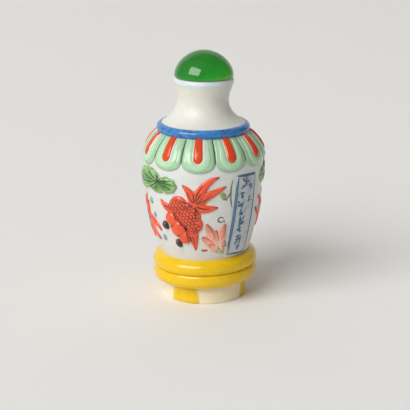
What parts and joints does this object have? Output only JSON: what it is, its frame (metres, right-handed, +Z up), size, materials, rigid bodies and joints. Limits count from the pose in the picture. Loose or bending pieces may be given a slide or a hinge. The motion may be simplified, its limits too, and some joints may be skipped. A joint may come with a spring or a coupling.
{
  "type": "snuff bottle",
  "caption": "Small round-shouldered glass snuff bottle with carved goldfish and lotus overlay, a lappet collar, ring mouldings and a domed lift-off stopper.",
  "frame": {"origin": "centre of the foot's underside, on the bottle's axis", "axes": "+Z up along the bottle's axis, +X to the right of the front side, -Y to the front"},
  "size_m": [0.0358, 0.0356, 0.0718],
  "materials": {
    "milk_glass": "polished opaque milk glass",
    "green_glass": "polished green glass"
  },
  "bodies": {
    "root": {"bottle": "milk_glass", "stopper": "green_glass"}
  },
  "joints": []
}
